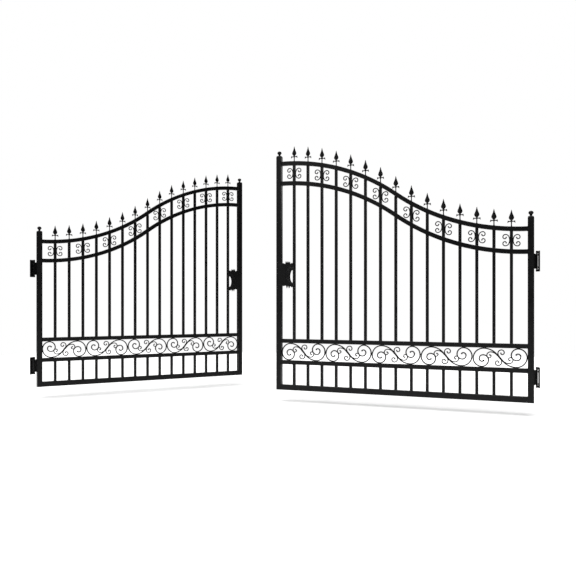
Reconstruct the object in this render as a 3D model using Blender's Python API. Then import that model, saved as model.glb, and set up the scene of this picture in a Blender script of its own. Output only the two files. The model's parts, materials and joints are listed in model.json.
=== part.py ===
"""Double-leaf ornamental steel driveway gate with its four pin hinges.

Two mirrored leaves hang between two posts.  The brackets bolted to the posts are the fixed part,
and each leaf swings on the two pins of its own brackets.

World frame: +X runs from the left post to the right post, +Y is the side the leaves swing
towards, and +Z is up.  The origin lies on the face by which the lower left bracket meets its
post, at that bracket's mid height and in the middle plane of the closed gate.

Leaf frame: x runs from the hinge pin towards the latch stile, y from the middle plane of the
leaf, and z from the underside of the leaf.  The right leaf is the mirror image of the left one.
"""

import math

import bmesh
import bpy
from mathutils import Matrix, Vector

# Whole gate
POST_OPENING = 4.267          # between the two posts, 14 ft
LEAF_CLEAR = 2.000            # between the two stiles of one leaf
LEFT_OPEN_DEG = 45.0          # how far each leaf stands open at rest
RIGHT_OPEN_DEG = 10.0
GAP = 0.0003                  # between pieces that touch

# Stock
STILE = 0.044
PICKET = 0.022
RAIL = 0.034
BOTTOM_RAIL = 0.044
PICKET_COUNT = 15
PICKET_PITCH = 0.12625

# Heights above the underside of the leaf
BAND_FLOOR = 0.222            # underside of the scroll band's lower rail
BAND_TOP = 0.440              # upper side of the scroll band's upper rail
ARCH_LOW = 1.322              # upper side of the arched top rail at the hinge stile
ARCH_HIGH = 1.975             # and at the latch stile
ARCH_DROP = 0.172             # from the top rail down to the lower arched rail
HINGE_STILE_TOP = 1.385
LATCH_STILE_TOP = 2.015
LOWER_HINGE = 0.190
UPPER_HINGE = 1.060
LOCK_PLATE_HEIGHT = 0.995

# Hinges
HINGE_REACH = 0.035           # stile face to post face with the gate closed
PIN_TO_STILE = 0.0185
PIN_BACK = 0.020              # pin axis behind the leaf's middle plane
BRACKET_HEIGHT = 0.154
BRACKET_PLATE = 0.006
BRACKET_FRONT = -0.022
BRACKET_BACK = 0.034
EAR_HEIGHT = 0.016
EAR_RADIUS = 0.008
PIN_RADIUS = 0.004
BARREL_RADIUS = 0.007
BARREL_BORE = 0.0048
BARREL_CLEAR = 0.001          # end play between the barrel and each ear
HINGE_PLATE = 0.004
HINGE_WEB = 0.008             # from the web's front to the pin axis
HINGE_PLATE_INSET = 0.004     # plate edge inside the stile's edge
HINGE_SIDES = 12

# Ornaments
SCROLL_COUNT = 5
SCROLL_STOCK = 0.009
SCROLL_DEPTH = 0.010
SMALL_STOCK = 0.0078
COLLAR_STOCK = 0.0075
COLLAR_DEPTH = 0.008
OUTER_TURN = 0.078            # radius of the big scroll's outermost turn
SCROLL_SLANT_DEG = 50.0       # slope of the scroll's straight middle
SMALL_BESIDE = 0.003          # a C-scroll's back beside that straight middle
DEPTH_STEP = 0.0008           # each scroll of a unit is this much shallower than the one before
COLLAR_BACK = PICKET / 2 + 0.0015   # back of a C-scroll from its picket's middle
COLLAR_LEAN = 0.027           # middle of a C-scroll from its picket's middle
FACET_SAG = 0.003             # how far a facet may stand inside the true arc
SPEAR_DEPTH = 0.009
LOCK_PLATE_DEPTH = 0.004
CAP_SIDES = 10
CAP_SHOULDER = 0.013
CAP_SHOULDER_TOP = 0.022      # width of the shoulder's upper side
CAP_NECK_RADIUS = 0.008
CAP_NECK_TOP = 0.019
BALL_RADIUS = 0.0185
BALL_HEIGHT = 0.034
BALL_RINGS = 5

BLACK = (0.012, 0.012, 0.013, 1.0)

# Distances worked out from the ones above
PIN_TO_POST = HINGE_REACH - PIN_TO_STILE
CLEAR_START = PIN_TO_STILE + STILE
CLEAR_END = CLEAR_START + LEAF_CLEAR
LEAF_FLOOR = -LOWER_HINGE
FIRST_PICKET = CLEAR_START + (LEAF_CLEAR - (PICKET_COUNT - 1) * PICKET_PITCH) / 2
ARCH_HALF = LEAF_CLEAR / 2
ARCH_RISE = (ARCH_HIGH - ARCH_LOW) / 2
ARCH_RADIUS = (ARCH_HALF ** 2 + ARCH_RISE ** 2) / (2 * ARCH_RISE)


# ---------------------------------------------------------------- scene and objects

def clear_scene():
    for item in list(bpy.data.objects):
        bpy.data.objects.remove(item)


def own_material(name):
    """Satin black powder coat on steel, one material for each sub-part."""
    material = bpy.data.materials.new(name)
    material.use_nodes = True
    shader = material.node_tree.nodes["Principled BSDF"]
    shader.inputs["Base Color"].default_value = BLACK
    shader.inputs["Roughness"].default_value = 0.38
    shader.inputs["Metallic"].default_value = 0.0
    return material


class Side:
    """Places objects on the left or the right leaf."""

    def __init__(self, name, pin_x, mirror, open_deg):
        self.name = name
        self.mirror = mirror
        self.pin = bpy.data.objects.new(name + "_pin_axis", None)
        self.pin.location = (pin_x, PIN_BACK, LEAF_FLOOR)
        turn = -open_deg if mirror else open_deg
        self.pin.rotation_euler = (0.0, 0.0, math.radians(turn))
        bpy.context.collection.objects.link(self.pin)

    def add(self, part_name, mesh, moving=True):
        """Link a mesh modelled in the leaf frame, on the leaf or fixed to the post."""
        if self.mirror:
            flip(mesh)
        name = self.name + "_" + part_name
        mesh.name = name
        mesh.materials.append(own_material(name))
        item = bpy.data.objects.new(name, mesh)
        bpy.context.collection.objects.link(item)
        if moving:
            item.parent = self.pin
            item.location = (0.0, -PIN_BACK, 0.0)
        else:
            item.location = (self.pin.location.x, 0.0, LEAF_FLOOR)
        return item


def flip(mesh):
    """Mirror a mesh in x and keep its faces pointing out."""
    mesh.transform(Matrix.Diagonal((-1.0, 1.0, 1.0, 1.0)))
    mesh.flip_normals()


def to_mesh(bm):
    mesh = bpy.data.meshes.new("mesh")
    bm.to_mesh(mesh)
    bm.free()
    return mesh


def union(base, *others):
    """Fuse meshes into one closed body, and return it as a mesh."""
    body = bpy.data.objects.new("body", base)
    bpy.context.collection.objects.link(body)
    tools = []
    for mesh in others:
        tool = bpy.data.objects.new("tool", mesh)
        tool.hide_render = True
        tool.display_type = "WIRE"
        bpy.context.collection.objects.link(tool)
        tools.append(tool)
        modifier = body.modifiers.new("fuse", "BOOLEAN")
        modifier.operation = "UNION"
        modifier.solver = "EXACT"
        modifier.object = tool
    graph = bpy.context.evaluated_depsgraph_get()
    fused = bpy.data.meshes.new_from_object(body.evaluated_get(graph))
    for item in [body] + tools:
        bpy.data.objects.remove(item)
    return fused


# ---------------------------------------------------------------- solids

def add_prism(bm, outline, low, high, along="y"):
    """Extrude a closed outline, given anticlockwise in (x, z) or (x, y), into a solid."""
    if along == "y":
        near = [bm.verts.new((x, low, z)) for x, z in outline]
        far = [bm.verts.new((x, high, z)) for x, z in outline]
    else:
        near = [bm.verts.new((x, y, high)) for x, y in outline]
        far = [bm.verts.new((x, y, low)) for x, y in outline]
    bm.faces.new(near)
    bm.faces.new(list(reversed(far)))
    count = len(outline)
    for index in range(count):
        after = (index + 1) % count
        bm.faces.new((near[after], near[index], far[index], far[after]))


def add_box(bm, x_range, y_range, z_range):
    (x0, x1), (z0, z1) = x_range, z_range
    add_prism(bm, [(x0, z0), (x1, z0), (x1, z1), (x0, z1)], *y_range)


def box_mesh(x_range, y_range, z_range):
    bm = bmesh.new()
    add_box(bm, x_range, y_range, z_range)
    return to_mesh(bm)


def prism_mesh(outline, low, high, along="y"):
    bm = bmesh.new()
    add_prism(bm, outline, low, high, along)
    return to_mesh(bm)


def centred(width):
    return (-width / 2, width / 2)


def ribbon_outline(path, thickness):
    """Outline of a flat bar that follows a path in the leaf's plane."""
    left, right = [], []
    last = len(path) - 1
    for index, point in enumerate(path):
        before = (point - path[index - 1]).normalized() if index > 0 else None
        after = (path[index + 1] - point).normalized() if index < last else None
        if before is None:
            before = after
        if after is None:
            after = before
        across = (before + after).normalized().orthogonal()
        reach = thickness / 2 / across.dot(before.orthogonal())
        left.append(point + across * reach)
        right.append(point - across * reach)
    return left, right


def add_ribbon(bm, path, thickness, depth):
    """Sweep a rectangular bar along a path in the leaf's plane."""
    left, right = ribbon_outline(path, thickness)
    rings = []
    for above, below in zip(left, right):
        rings.append([
            bm.verts.new((above.x, -depth / 2, above.y)),
            bm.verts.new((below.x, -depth / 2, below.y)),
            bm.verts.new((below.x, depth / 2, below.y)),
            bm.verts.new((above.x, depth / 2, above.y)),
        ])
    bm.faces.new(rings[0])
    bm.faces.new(list(reversed(rings[-1])))
    for ring, following in zip(rings, rings[1:]):
        for side in range(4):
            after = (side + 1) % 4
            bm.faces.new((ring[after], ring[side], following[side], following[after]))
    bmesh.ops.recalc_face_normals(bm, faces=bm.faces)


def ribbon_mesh(path, thickness, depth):
    bm = bmesh.new()
    add_ribbon(bm, path, thickness, depth)
    return to_mesh(bm)


def turned_mesh(profile, sides, centre=(0.0, 0.0)):
    """Spin a profile of (radius, z) points, open or closed on the axis, about a vertical axis."""
    bm = bmesh.new()
    rings = []
    for radius, z in profile:
        if radius == 0.0:
            rings.append([bm.verts.new((centre[0], centre[1], z))])
            continue
        ring = []
        for index in range(sides):
            angle = 2 * math.pi * (index + 0.5) / sides
            x = centre[0] + radius * math.cos(angle)
            y = centre[1] + radius * math.sin(angle)
            ring.append(bm.verts.new((x, y, z)))
        rings.append(ring)
    closed = profile[0][0] != 0.0
    pairs = list(zip(rings, rings[1:]))
    if closed:
        pairs.append((rings[-1], rings[0]))
    for ring, following in pairs:
        for index in range(sides):
            after = (index + 1) % sides
            corners = [ring[index % len(ring)], ring[after % len(ring)],
                       following[after % len(following)], following[index % len(following)]]
            bm.faces.new(list(dict.fromkeys(corners)))
    bmesh.ops.recalc_face_normals(bm, faces=bm.faces)
    return to_mesh(bm)


# ---------------------------------------------------------------- curves

def arc_chain(heading_deg, side, legs, start=(0.0, 0.0), straight=0.0):
    """Points along a straight lead and a chain of tangent arcs.

    Each leg is (radius, degrees turned).  side is 1 where the chain turns left, -1 right.
    """
    heading = math.radians(heading_deg)
    point = Vector(start)
    points = [point]
    if straight:
        point = point + straight * Vector((math.cos(heading), math.sin(heading)))
        points.append(point)
    for radius, turn_deg in legs:
        turn = math.radians(turn_deg)
        largest = 2 * math.acos(1 - min(FACET_SAG / radius, 0.5))
        steps = max(1, math.ceil(turn / largest - 1e-6))
        centre = point + side * radius * Vector((-math.sin(heading), math.cos(heading)))
        spoke = point - centre
        for step in range(1, steps + 1):
            points.append(centre + Matrix.Rotation(side * turn * step / steps, 2) @ spoke)
        point = points[-1]
        heading += side * turn
    return points


def lead_in(heading_deg, reach, rise):
    """Length of the straight and radius of the arc that together climb to a level top."""
    slope = math.radians(heading_deg)
    whole = 1 - math.cos(slope)
    straight = (rise * math.sin(slope) - reach * whole) / whole
    radius = (reach * math.sin(slope) - rise * math.cos(slope)) / whole
    return straight, radius


def half_turn(points):
    return [-point for point in points]


def shifted(points, x, z, flip_x=False):
    across = -1.0 if flip_x else 1.0
    return [Vector((x + across * point.x, z + point.y)) for point in points]


def arch_height(x):
    """Upper side of the top rail at x, an S of two tangent arcs, level at both stiles."""
    along = min(max(x - CLEAR_START, 0.0), LEAF_CLEAR)
    if along < ARCH_HALF:
        return ARCH_LOW + ARCH_RADIUS - math.sqrt(ARCH_RADIUS ** 2 - along ** 2)
    rest = LEAF_CLEAR - along
    return ARCH_HIGH - ARCH_RADIUS + math.sqrt(ARCH_RADIUS ** 2 - rest ** 2)


def arch_path(drop):
    """Middle line of an arched rail whose upper side is drop below the top rail's.

    A short level stretch at each end gives the rail upright ends against the stiles.
    """
    steps = 16
    level = 0.010
    start, end = CLEAR_START + GAP, CLEAR_END - GAP
    places = [start + level + (end - start - 2 * level) * index / steps for index in range(steps + 1)]
    path = [Vector((x, arch_height(x) - drop - RAIL / 2)) for x in places]
    return [Vector((start, path[0].y))] + path + [Vector((end, path[-1].y))]


def line_height(line, x):
    """Height of a line of points at x."""
    for start, end in zip(line, line[1:]):
        if start.x <= x <= end.x:
            return start.y + (end.y - start.y) * (x - start.x) / (end.x - start.x)
    raise ValueError("x lies outside the line")


# ---------------------------------------------------------------- parts of a leaf

def picket_places():
    return [FIRST_PICKET + PICKET_PITCH * index for index in range(PICKET_COUNT)]


def stile(start, top):
    return box_mesh((start, start + STILE), centred(STILE), (0.0, top))


def stile_cap(middle, top):
    """Square shoulder that narrows to a neck under a flattened ball."""
    foot = top + GAP
    waist = foot + CAP_SHOULDER / 2
    bm = bmesh.new()
    bmesh.ops.create_cone(
        bm, cap_ends=True, segments=4, depth=CAP_SHOULDER,
        radius1=(STILE / 2 - GAP) * math.sqrt(2), radius2=CAP_SHOULDER_TOP / math.sqrt(2),
        matrix=Matrix.Translation((middle, 0.0, waist)) @ Matrix.Rotation(math.pi / 4, 4, "Z"),
    )
    base = to_mesh(bm)
    ball_foot = foot + CAP_NECK_TOP
    profile = [(0.0, waist), (CAP_NECK_RADIUS, waist), (CAP_NECK_RADIUS, ball_foot)]
    ball_start = 0.12
    for ring in range(1, BALL_RINGS + 1):
        angle = math.pi * (ball_start + (1 - ball_start) * ring / (BALL_RINGS + 1))
        z = ball_foot + BALL_HEIGHT * (1 - math.cos(angle)) / 2
        profile.append((BALL_RADIUS * math.sin(angle), z))
    profile.append((0.0, ball_foot + BALL_HEIGHT))
    return union(base, turned_mesh(profile, CAP_SIDES, (middle, 0.0)))


def bottom_rail():
    """Square rail with the short pickets that stand on it."""
    rail = box_mesh((CLEAR_START + GAP, CLEAR_END - GAP), centred(BOTTOM_RAIL), (0.0, BOTTOM_RAIL))
    root = BOTTOM_RAIL / 2
    bm = bmesh.new()
    for x in picket_places():
        across = (x - PICKET / 2, x + PICKET / 2)
        add_box(bm, across, centred(PICKET), (root, BAND_FLOOR - GAP))
    return union(rail, to_mesh(bm))


def band_rail(floor):
    return box_mesh((CLEAR_START + GAP, CLEAR_END - GAP), centred(RAIL), (floor, floor + RAIL))


def scroll_unit(index):
    """One S-scroll with two C-scrolls welded along its slanting middle."""
    unit_width = LEAF_CLEAR / SCROLL_COUNT
    middle_x = CLEAR_START + unit_width * (index + 0.5)
    middle_z = (BAND_FLOOR + BAND_TOP) / 2
    reach = unit_width / 2 - GAP - SCROLL_STOCK / 2
    rise = (BAND_TOP - BAND_FLOOR) / 2 - RAIL - GAP - SCROLL_STOCK / 2
    slant = SCROLL_SLANT_DEG

    straight, first = lead_in(slant, reach - OUTER_TURN, rise)
    legs = [(first, slant), (OUTER_TURN, 90), (2 * rise - OUTER_TURN, 90)]
    legs += [(0.050, 90), (0.039, 90), (0.029, 90), (0.021, 90), (0.013, 60)]
    arm = arc_chain(slant, -1, legs, straight=straight)
    scroll = half_turn(arm)[::-1] + arm[1:]

    along = math.radians(slant)
    beside = SMALL_BESIDE * Vector((math.sin(along), -math.cos(along)))
    upper_legs = [(0.060, slant), (0.027, 90), (0.018, 90), (0.013, 90), (0.009, 90)]
    upper = arc_chain(slant, -1, upper_legs, start=beside, straight=0.030)
    lower_legs = [(0.035, 90 - slant), (0.026, 90), (0.020, 90), (0.015, 90), (0.010, 90)]
    lower = arc_chain(slant - 180, 1, lower_legs, start=beside, straight=0.012)
    small = lower[::-1] + upper[1:]

    def bar(points, thickness, depth):
        return ribbon_mesh(shifted(points, middle_x, middle_z), thickness, depth)

    return union(
        bar(scroll, SCROLL_STOCK, SCROLL_DEPTH),
        bar(small, SMALL_STOCK, SCROLL_DEPTH - DEPTH_STEP),
        bar(half_turn(small), SMALL_STOCK, SCROLL_DEPTH - 2 * DEPTH_STEP),
    )


def side_scroll():
    """C-scroll that opens towards +x, its back on the z axis."""
    legs = [(0.064, 25), (0.0275, 65), (0.018, 90), (0.014, 90), (0.010, 90)]
    upper = arc_chain(90, -1, legs)
    lower = [Vector((point.x, -point.y)) for point in upper]
    return lower[::-1] + upper[1:]


def picket_panel():
    """Tall pickets, the lower arched rail they pass through, and their pairs of C-scrolls."""
    rail = ribbon_mesh(arch_path(ARCH_DROP), RAIL, RAIL)
    underside = ribbon_outline(arch_path(0.0), RAIL)[1]
    pickets = bmesh.new()
    scrolls = bmesh.new()
    scroll = side_scroll()
    for index, x in enumerate(picket_places()):
        left, right = x - PICKET / 2, x + PICKET / 2
        foot = BAND_TOP + GAP
        outline = [
            (left, foot),
            (right, foot),
            (right, line_height(underside, right) - 2 * GAP),
            (left, line_height(underside, left) - 2 * GAP),
        ]
        add_prism(pickets, outline, *centred(PICKET))
        if index % 2 == 0:
            for way in (-1, 1):
                middle = arch_height(x + way * COLLAR_LEAN) - (ARCH_DROP + RAIL) / 2
                path = shifted(scroll, x + way * COLLAR_BACK, middle, flip_x=way < 0)
                add_ribbon(scrolls, path, COLLAR_STOCK, COLLAR_DEPTH)
    return union(rail, to_mesh(pickets), to_mesh(scrolls))


def spear_outline(x, foot):
    """Cast spear head: shank, drooping cross bar and leaf-shaped blade."""
    half = [
        (0.0050, -0.0100),
        (0.0050, 0.0350),
        (0.0150, 0.0360),
        (0.0290, 0.0260),
        (0.0260, 0.0480),
        (0.0150, 0.0430),
        (0.0055, 0.0460),
        (0.0195, 0.0670),
        (0.0100, 0.0960),
        (0.0025, 0.1280),
    ]
    right = [(x + across, foot + up) for across, up in half]
    left = [(x - across, foot + up) for across, up in reversed(half)]
    return right + left


def arch_rail():
    """Arched top rail with one spear head above each picket."""
    rail = ribbon_mesh(arch_path(0.0), RAIL, RAIL)
    bm = bmesh.new()
    for x in picket_places():
        add_prism(bm, spear_outline(x, arch_height(x)), *centred(SPEAR_DEPTH))
    return union(rail, to_mesh(bm))


def lock_plate():
    """Scalloped plate across the latch stile and the picket beside it, notched for a hand."""
    outline = [
        (-0.004, 0.096), (-0.004, -0.094), (0.022, -0.092), (0.046, -0.098), (0.070, -0.096),
        (0.079, -0.119), (0.089, -0.099), (0.100, -0.119), (0.110, -0.101), (0.127, -0.110),
        (0.148, -0.086), (0.142, -0.070), (0.124, -0.066), (0.114, -0.044), (0.110, -0.017),
        (0.114, 0.010), (0.124, 0.034), (0.143, 0.038), (0.149, 0.056), (0.142, 0.080),
        (0.127, 0.102), (0.114, 0.093), (0.107, 0.113), (0.098, 0.104), (0.089, 0.116),
        (0.080, 0.104), (0.070, 0.116), (0.062, 0.094), (0.046, 0.100), (0.025, 0.095),
    ]
    middle = CLEAR_END + STILE / 2
    placed = [(middle - across, LOCK_PLATE_HEIGHT + up) for across, up in outline]
    back = -STILE / 2 - GAP
    return prism_mesh(placed[::-1], back - LOCK_PLATE_DEPTH, back)


def gate_hinge(height):
    """Barrel that turns on the pin, on a plate welded to the hinge stile's outer face."""
    half = BRACKET_HEIGHT / 2 - EAR_HEIGHT - BARREL_CLEAR
    profile = [
        (BARREL_BORE, height - half),
        (BARREL_RADIUS, height - half),
        (BARREL_RADIUS, height + half),
        (BARREL_BORE, height + half),
    ]
    barrel = turned_mesh(profile, HINGE_SIDES, (0.0, PIN_BACK))
    outer = PIN_TO_STILE - GAP
    inner = outer - HINGE_PLATE
    web_start = (BARREL_RADIUS + BARREL_BORE) / 2
    web_front = PIN_BACK - HINGE_WEB
    plate_front = -STILE / 2 + HINGE_PLATE_INSET
    back = STILE / 2 - 2 * GAP
    plan = [
        (outer, plate_front), (outer, back), (web_start, back),
        (web_start, web_front), (inner, web_front), (inner, plate_front),
    ]
    plate_half = half - HINGE_PLATE_INSET
    plate = prism_mesh(plan, height - plate_half, height + plate_half, along="z")
    return union(barrel, plate)


def post_bracket(height):
    """Plate bolted to the post, with two ears and the fixed pin between them."""
    half = BRACKET_HEIGHT / 2
    face = -PIN_TO_POST
    plate = box_mesh(
        (face, face + BRACKET_PLATE), (BRACKET_FRONT, BRACKET_BACK), (height - half, height + half))
    ear = [(face + BRACKET_PLATE / 2, PIN_BACK + EAR_RADIUS), (face + BRACKET_PLATE / 2, PIN_BACK - EAR_RADIUS)]
    steps = HINGE_SIDES // 2
    for step in range(steps + 1):
        angle = math.pi * (step / steps - 0.5)
        ear.append((EAR_RADIUS * math.cos(angle), PIN_BACK + EAR_RADIUS * math.sin(angle)))
    ears = bmesh.new()
    inset = 0.0005
    add_prism(ears, ear, height - half + inset, height - half + EAR_HEIGHT, along="z")
    add_prism(ears, ear, height + half - EAR_HEIGHT, height + half - inset, along="z")
    pin_half = half - EAR_HEIGHT / 2
    pin = turned_mesh(
        [(0.0, height - pin_half), (PIN_RADIUS, height - pin_half),
         (PIN_RADIUS, height + pin_half), (0.0, height + pin_half)],
        HINGE_SIDES, (0.0, PIN_BACK))
    return union(plate, to_mesh(ears), pin)


def build_side(side):
    side.add("hinge_stile", stile(PIN_TO_STILE, HINGE_STILE_TOP))
    side.add("latch_stile", stile(CLEAR_END, LATCH_STILE_TOP))
    side.add("hinge_stile_cap", stile_cap(PIN_TO_STILE + STILE / 2, HINGE_STILE_TOP))
    side.add("latch_stile_cap", stile_cap(CLEAR_END + STILE / 2, LATCH_STILE_TOP))
    side.add("bottom_rail", bottom_rail())
    side.add("lower_band_rail", band_rail(BAND_FLOOR))
    side.add("upper_band_rail", band_rail(BAND_TOP - RAIL))
    for index in range(SCROLL_COUNT):
        side.add("scroll_unit_" + str(index + 1), scroll_unit(index))
    side.add("picket_panel", picket_panel())
    side.add("arch_rail", arch_rail())
    side.add("lock_plate", lock_plate())
    for label, height in (("lower", LOWER_HINGE), ("upper", UPPER_HINGE)):
        side.add(label + "_gate_hinge", gate_hinge(height))
        side.add(label + "_post_bracket", post_bracket(height), moving=False)


clear_scene()
build_side(Side("left", PIN_TO_POST, False, LEFT_OPEN_DEG))
build_side(Side("right", POST_OPENING - PIN_TO_POST, True, RIGHT_OPEN_DEG))
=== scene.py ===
"""Looks of the double-leaf ornamental driveway gate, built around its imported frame.

Every piece is modelled in the leaf frame: x runs from the hinge pin towards the latch stile, y from
the middle plane of the leaf towards its back, and z up from the underside of the leaf.  The pins, the
angles at which the leaves stand and the sizes of stiles, rails and hinges are read from the frame.
"""

import json
import math

import bmesh
import bpy
import numpy as np
from mathutils import Matrix, Vector, geometry, noise


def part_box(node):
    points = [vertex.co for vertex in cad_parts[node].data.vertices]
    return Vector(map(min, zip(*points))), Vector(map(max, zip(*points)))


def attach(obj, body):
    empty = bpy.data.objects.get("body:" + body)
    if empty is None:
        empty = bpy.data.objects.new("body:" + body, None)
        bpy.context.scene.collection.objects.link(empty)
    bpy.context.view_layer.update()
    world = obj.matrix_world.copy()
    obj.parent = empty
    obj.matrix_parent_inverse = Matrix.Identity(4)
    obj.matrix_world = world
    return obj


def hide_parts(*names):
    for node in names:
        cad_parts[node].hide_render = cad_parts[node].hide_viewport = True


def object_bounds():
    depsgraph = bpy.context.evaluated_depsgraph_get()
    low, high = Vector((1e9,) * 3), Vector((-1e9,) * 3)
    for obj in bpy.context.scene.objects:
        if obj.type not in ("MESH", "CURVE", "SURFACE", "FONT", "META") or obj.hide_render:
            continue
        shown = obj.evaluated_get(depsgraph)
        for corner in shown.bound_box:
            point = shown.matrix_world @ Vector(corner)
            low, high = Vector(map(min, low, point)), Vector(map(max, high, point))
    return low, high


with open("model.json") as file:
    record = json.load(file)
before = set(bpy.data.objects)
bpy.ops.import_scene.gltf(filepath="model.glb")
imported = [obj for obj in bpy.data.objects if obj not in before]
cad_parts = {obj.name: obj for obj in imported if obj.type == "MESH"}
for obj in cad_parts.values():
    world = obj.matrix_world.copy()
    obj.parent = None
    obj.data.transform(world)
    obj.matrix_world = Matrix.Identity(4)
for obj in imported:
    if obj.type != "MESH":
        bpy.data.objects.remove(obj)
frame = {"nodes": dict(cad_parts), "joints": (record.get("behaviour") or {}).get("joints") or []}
CAD_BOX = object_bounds()

# Ornament sizes, as in the frame
PICKET = 0.022
PICKET_COUNT = 15
PICKET_PITCH = 0.12625
ARCH_LOW = 1.322              # upper side of the arched top rail at the hinge stile
ARCH_HIGH = 1.975             # and at the latch stile
ARCH_DROP = 0.172             # from the top rail down to the lower arched rail
SCROLL_COUNT = 5
SCROLL_STOCK = 0.009
SCROLL_DEPTH = 0.010
SMALL_STOCK = 0.0078
COLLAR_STOCK = 0.0075
COLLAR_DEPTH = 0.008
SCROLL_SLANT_DEG = 50.0
OUTER_TURN = 0.078            # radius of the big scroll's outermost turn
SMALL_BESIDE = 0.003          # a C-scroll's back beside the S-scroll's straight middle
DEPTH_STEP = 0.0008           # each scroll of a unit is this much shallower than the one before
COLLAR_BACK = PICKET / 2 + 0.0015   # back of a C-scroll from its picket's middle
COLLAR_LEAN = 0.027           # middle of a C-scroll from its picket's middle
LOCK_PLATE_DEPTH = 0.004
LOCK_PLATE_BELOW = 0.119      # from the middle of the lock plate down to its lowest point
BOTTOM_RAIL = 0.044
GAP = 0.0003

# Finer detail
TUBE_CORNER = 0.0024          # outside corner radius of the square tubes
PICKET_CORNER = 0.0016
BAR_CORNER = 0.0019           # rolled edge of the bent flat bars
ARC_STEP_DEG = 6.0
SINK = 0.0006                 # how far a welded bar runs into what it stands on
WELD_LEG = 0.0026
RAIL_WELD_LEG = 0.0034
RIPPLE = 0.45                 # unevenness of a weld bead, as a share of its size
SCROLL_BUD = 0.0068           # radius of the rolled end of each kind of scroll
SMALL_BUD = 0.0058
COLLAR_BUD = 0.0054
SHARP_FROM_DEG = 46.0         # faces that meet at less than this are shaded as one surface

BLACK = (0.0022, 0.0022, 0.0024, 1.0)
# GRAPHITE: random lighter tone of the coat, and also the colour of the painted highlight along convex edges
GRAPHITE = (0.0070, 0.0070, 0.0074, 1.0)
# settled dust on upward faces; its lighter colour also serves as a painted highlight there
DUST_AND_TOP_HIGHLIGHT = (0.022, 0.021, 0.019, 1.0)


# ---------------------------------------------------------------- places

class Side:
    """One leaf with its post brackets: where its frame stands, and which way its x runs."""

    def __init__(self, name):
        self.name = name
        self.body = name + "_leaf"
        self.mirrored = name == "right"
        joint = next(row for row in frame["joints"] if row["child"] == self.body)
        pin_x, self.pin_back, _ = joint["pos_m"]
        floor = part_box(name + "_bottom_rail")[0].z
        flip = Matrix.Diagonal((-1.0 if self.mirrored else 1.0, 1.0, 1.0, 1.0))
        closed_to_rest = Matrix.Rotation(math.radians(-joint["range_deg"][0]), 4, Vector(joint["axis"]))
        back = Matrix.Translation((0.0, -self.pin_back, 0.0))
        self.leaf = Matrix.Translation((pin_x, self.pin_back, floor)) @ closed_to_rest @ back @ flip
        self.post = Matrix.Translation((pin_x, 0.0, floor)) @ flip

    def box(self, part, fixed=False):
        """Lowest and highest corner of a CAD node in the leaf frame."""
        inverse = (self.post if fixed else self.leaf).inverted()
        points = [inverse @ vertex.co for vertex in frame["nodes"][self.name + "_" + part].data.vertices]
        low = Vector([min(point[axis] for point in points) for axis in range(3)])
        high = Vector([max(point[axis] for point in points) for axis in range(3)])
        return low, high

    def add(self, name, bm, slot, stands_for=(), fixed=False):
        """Make a piece from a mesh in the leaf frame and hand it to the body it moves with."""
        bmesh.ops.recalc_face_normals(bm, faces=bm.faces)
        mesh = bpy.data.meshes.new(self.name + "_" + name)
        bm.to_mesh(mesh)
        bm.free()
        mesh.transform(self.post if fixed else self.leaf)
        if self.mirrored:
            mesh.flip_normals()
        mesh.shade_smooth()
        mesh.set_sharp_from_angle(angle=math.radians(SHARP_FROM_DEG))
        mesh.materials.append(FINISHES[slot])
        piece = bpy.data.objects.new(mesh.name, mesh)
        bpy.context.scene.collection.objects.link(piece)
        weighted = piece.modifiers.new("flat_faces_stay_flat", "WEIGHTED_NORMAL")
        weighted.keep_sharp = True
        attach(piece, "post_brackets" if fixed else self.body)
        if stands_for:
            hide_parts(*[self.name + "_" + part for part in stands_for])
        return piece


# ---------------------------------------------------------------- sections and solids

def rounded_rect(width, depth, corner, steps=3, along=1):
    """Rectangle with round corners about the origin, anticlockwise, its sides split in equal parts."""
    points = []
    for quarter in range(4):
        ways = ((1, 1), (-1, 1), (-1, -1), (1, -1))[quarter]
        middle = Vector((ways[0] * (width / 2 - corner), ways[1] * (depth / 2 - corner)))
        arc = []
        for step in range(steps + 1):
            angle = math.radians(90.0 * (quarter + step / steps))
            arc.append(middle + corner * Vector((math.cos(angle), math.sin(angle))))
        if points:
            points += [points[-1].lerp(arc[0], part / along) for part in range(1, along)]
        points += arc
    first = points[0]
    last = points[-1]
    return points + [last.lerp(first, part / along) for part in range(1, along)]


def skin(bm, rings):
    """Join rings of equal length, or single points at the ends, into a closed body."""
    made = [[bm.verts.new(point) for point in ring] for ring in rings]
    for ring, following in zip(made, made[1:]):
        count = max(len(ring), len(following))
        for index in range(count):
            after = (index + 1) % count
            corners = [ring[index % len(ring)], ring[after % len(ring)],
                       following[after % len(following)], following[index % len(following)]]
            bm.faces.new(list(dict.fromkeys(corners)))
    for end in (made[0], made[-1]):
        if len(end) > 1:
            bm.faces.new(end)


def sweep(bm, path, section):
    """Sweep a section of (across, y) points along a path of (x, z) points."""
    rings = []
    last = len(path) - 1
    for index, point in enumerate(path):
        before = (point - path[index - 1] if index > 0 else path[1] - point).normalized()
        after = (path[index + 1] - point if index < last else point - path[last - 1]).normalized()
        across = (before + after).normalized().orthogonal()
        stretch = 1 / across.dot(before.orthogonal())
        ring = []
        for side, y in section:
            reach = side * stretch
            ring.append(Vector((point.x + across.x * reach, y, point.y + across.y * reach)))
        rings.append(ring)
    skin(bm, rings)


def add_bar(bm, start, end, width, depth, corner, steps=3):
    """Straight rounded bar between two (x, z) points."""
    sweep(bm, [Vector(start), Vector(end)], rounded_rect(width, depth, corner, steps))


def turned(bm, profile, sides, matrix):
    """Spin a profile of (radius, height) points about the z axis of a matrix."""
    rings = []
    for radius, height in profile:
        count = sides if radius > 0.0 else 1
        turn = 2 * math.pi / sides
        rings.append([
            matrix @ Vector((radius * math.cos(turn * index), radius * math.sin(turn * index), height))
            for index in range(count)
        ])
    skin(bm, rings)


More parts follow.
